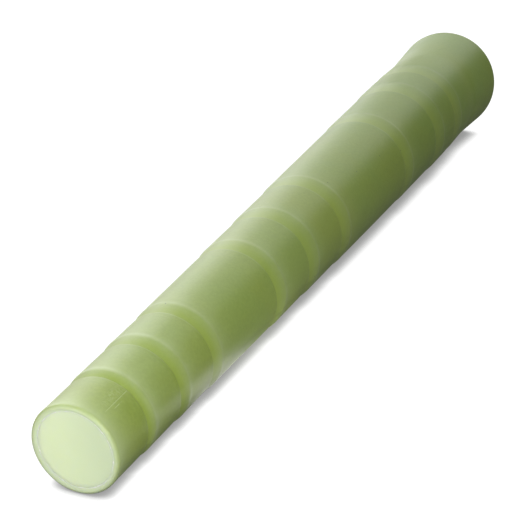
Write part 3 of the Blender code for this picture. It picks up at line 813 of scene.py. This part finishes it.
def ridge_of_thread(name, root, crest, start, turns, pitch=2.4, half=0.45):
    """A helical ridge with rounded flanks that runs out at both ends."""
    steps = int(96 * turns)
    profile = [
        (0.0, half), (0.55, half * 0.75), (0.95, half * 0.4),
        (0.95, -half * 0.4), (0.55, -half * 0.75), (0.0, -half),
    ]
    verts = []
    for i in range(steps + 1):
        share = i / steps
        angle = math.tau * turns * share
        height = smooth(share * 8.0) * smooth((1.0 - share) * 8.0)
        for out, rise in profile:
            radius = root + (crest - root) * out * height
            place = start + pitch * turns * share + rise
            verts.append((radius * math.cos(angle) * MM, radius * math.sin(angle) * MM, place * MM))
    count = len(profile)
    faces = []
    for i in range(steps):
        for j in range(count):
            beside = (j + 1) % count
            faces.append([i * count + j, (i + 1) * count + j, (i + 1) * count + beside, i * count + beside])
    faces.append(list(range(count)))
    faces.append([steps * count + j for j in reversed(range(count))])
    mesh = bpy.data.meshes.new(name)
    mesh.from_pydata(verts, [], faces)
    return mesh


def join(name, meshes):
    """One mesh of several, with every face turned outwards."""
    shape = bmesh.new()
    for mesh in meshes:
        shape.from_mesh(mesh)
    bmesh.ops.recalc_face_normals(shape, faces=shape.faces)
    joined = bpy.data.meshes.new(name)
    shape.to_mesh(joined)
    shape.free()
    return joined


def make_tail_cap(material):
    """A recessed cap, fluted round its edge, with six finger wells and a ring groove round the button."""
    rear = 1.4
    rings = [(15.25, 11.6), (16.0, 11.6), (16.2, 11.4), (16.2, 4.2), (16.2, 3.4), (16.2, 2.7)]
    rings += [(16.05, 2.35), (15.75, 2.0), (15.4, 1.7), (15.0, 1.48), (14.7, rear)]
    rings += [(14.7 - 0.2 * i, rear) for i in range(1, 39)]
    rings += [(6.75, rear + 0.05), (6.45, rear + 0.3), (6.3, rear + 0.6), (6.3, 4.0)]
    rings += [
        (10.6, 4.0), (10.6, 11.7), (11.4, 11.7), (11.4, 13.0), (10.6, 13.0), (10.6, 13.8), (10.8, 14.0),
        (12.0, 14.0), (12.2, 13.8), (12.2, 4.0), (14.65, 4.0), (14.65, 10.0), (15.25, 10.3),
    ]
    shell = revolve("tail_cap_shell", scaled_rings(rings), sides=288)
    well_circle = 11.6 * MM
    turns = [math.tau * i / 6 for i in range(6)]
    wells = [(well_circle * math.cos(turn), well_circle * math.sin(turn)) for turn in turns]
    well_radius = 2.35 * MM
    well_depth = 1.35 * MM
    flutes = 72

    def carve(radius, angle, place):
        if place < 2.0 * MM and radius < 14.9 * MM and radius > 6.9 * MM:
            x, y = radius * math.cos(angle), radius * math.sin(angle)
            nearest = min(math.hypot(x - wx, y - wy) for wx, wy in wells)
            place += well_depth * smooth((well_radius - nearest) / (0.75 * well_radius))
            place += 0.25 * MM * smooth(1.0 - abs(radius - 8.0 * MM) / (0.35 * MM))
        if radius > 15.2 * MM and place < 4.0 * MM:
            dip = 0.5 - 0.5 * math.cos(flutes * angle)
            radius -= 0.22 * MM * dip * smooth((4.2 * MM - place) / (1.2 * MM))
        return radius, place

    nudge(shell, carve)
    thread = ridge_of_thread("cap_thread", 14.75, 13.95, 6.8, 1.0)
    mesh = join("tail_cap_shell", [shell, thread])
    add_piece(mesh, "cap", material, ["tail_cap"], sharp=35.0)


def make_button(material):
    """A soft key: a rounded edge, a raised ring and a shallow dish."""
    rings = [(0.0, 5.4), (7.8, 5.4), (8.0, 5.2), (8.0, 4.5), (7.8, 4.3), (6.3, 4.3), (6.05, 4.1), (6.0, 3.8)]
    rings += [(6.0, 1.5), (5.95, 1.2), (5.8, 0.95), (5.55, 0.78), (5.2, 0.7), (4.9, 0.68), (4.75, 0.6)]
    rings += [(4.6, 0.5), (4.4, 0.45), (4.2, 0.5), (4.05, 0.62), (3.9, 0.72), (3.6, 0.8)]
    rings += [(2.8, 0.88), (1.9, 0.94), (1.0, 0.97), (0.0, 0.98)]
    mesh = revolve("button_key", scaled_rings(rings), sides=96, closed=False)
    add_piece(mesh, "button", material, ["push_button"])


def finish_cad_nodes(finishes):
    """Every CAD node, shown or replaced, gets the finish that the record gives it."""
    for part in frame["record"]["subparts"]:
        for slot in frame["nodes"][part["node"]].material_slots:
            slot.material = finishes[part["material_slot"]]


# Floor and light

def make_floor():
    """A light floor, lit and glowing evenly, with a painted contact shadow: close to the wand, where ambient
    occlusion finds it, its glow is dimmed.
    """
    mesh = bpy.data.meshes.new("floor")
    half = 3.0
    corners = [(-half, -half, 0), (half, -half, 0), (half, half, 0), (-half, half, 0)]
    mesh.from_pydata(corners, [], [(0, 1, 2, 3)])
    floor = bpy.data.objects.new("floor", mesh)
    bpy.context.scene.collection.objects.link(floor)
    shader = Shader("floor_white")
    shader.set(Base_Color=(0.16, 0.16, 0.16), Roughness=0.9)
    shader.surface.inputs["Specular IOR Level"].default_value = 0.0
    shader.surface.inputs["Emission Color"].default_value = (1.0, 1.0, 1.0, 1.0)
    # Painted contact shadow: the ambient occlusion dims the floor's glow near the wand.
    nearness = shader.node("ShaderNodeAmbientOcclusion", samples=16)
    reach = shader.fade(shader.dot(Vector((1.0, 0.0, 0.0))), -0.2, 0.2, 7.0 * MM, 3.0 * MM)
    shader.feed(nearness.inputs["Distance"], reach)
    shader.set(Emission_Strength=shader.fade(nearness.outputs["AO"], 0.25, 0.90, 0.28, 1.0))
    mesh.materials.append(shader.material)
    floor.visible_diffuse = False
    floor.visible_glossy = False
    floor.visible_transmission = False


def towards(azimuth, elevation):
    """The direction from the object, for two angles in degrees."""
    azimuth = math.radians(azimuth)
    elevation = math.radians(elevation)
    return Vector((
        math.cos(elevation) * math.cos(azimuth),
        math.cos(elevation) * math.sin(azimuth),
        math.sin(elevation),
    ))


def add_light(name, kind, direction, energy):
    data = bpy.data.lights.new(name, kind)
    data.energy = energy
    light = bpy.data.objects.new(name, data)
    light.rotation_euler = (-direction).to_track_quat("-Z", "Y").to_euler()
    bpy.context.scene.collection.objects.link(light)
    return light


def add_sun(name, azimuth, elevation, angle, strength):
    """A broad softbox far away."""
    sun = add_light(name, "SUN", towards(azimuth, elevation), strength)
    sun.data.angle = math.radians(angle)


def add_tip_light(name, azimuth, elevation, power):
    """A round softbox close to the tip, so that its light falls off towards the grip."""
    direction = towards(azimuth, elevation)
    light = add_light(name, "AREA", direction, power)
    light.data.shape = "DISK"
    light.data.size = 0.2
    light.location = RIM_CENTRE + AXIS * LENGTH + direction * 0.28
    light.visible_camera = False


def add_light_table():
    """A lit panel under the floor, below the tip's half, that brightens the wand's underside."""
    light = add_light("light_table", "AREA", Vector((0.0, 0.0, -1.0)), 0.017)
    light.data.shape = "RECTANGLE"
    light.data.size = 0.03
    light.data.size_y = 0.11
    light.location = RIM_CENTRE + AXIS * (LENGTH - 72.0 * MM)
    light.location.y = 11.0 * MM
    light.location.z = -14.0 * MM
    light.visible_camera = False


def make_light():
    world = bpy.data.worlds.new("world")
    bpy.context.scene.world = world
    world.use_nodes = True
    background = world.node_tree.nodes["Background"]
    background.inputs["Color"].default_value = (1.0, 1.0, 1.0, 1.0)
    background.inputs["Strength"].default_value = 0.17
    add_sun("back_left_softbox", 225.0, 35.0, 45.0, 1.45)
    add_sun("low_back_left_softbox", 225.0, 8.0, 45.0, 0.75)
    add_sun("back_softbox", 180.0, 35.0, 45.0, 0.70)
    add_sun("top_softbox", 60.0, 62.0, 45.0, 0.40)
    add_tip_light("right_tip_softbox", 45.0, 30.0, 0.83)
    add_tip_light("left_tip_softbox", -45.0, 30.0, 0.36)
    add_light_table()
    bpy.context.scene.view_settings.view_transform = "Standard"


make_camera()
finishes = make_finishes()
finish_cad_nodes(finishes)
make_sleeve(finishes["luminous_plastic"])
make_tip_disc(finishes["end_disc_plastic"])
make_seam(cement())
make_springs(finishes["spring_steel"])
make_cells(finishes["cell_wrap"], cell_wrap(True))
make_optics(finishes)
make_tail_cap(finishes["black_plastic"])
make_button(finishes["button_rubber"])
make_floor()
make_light()
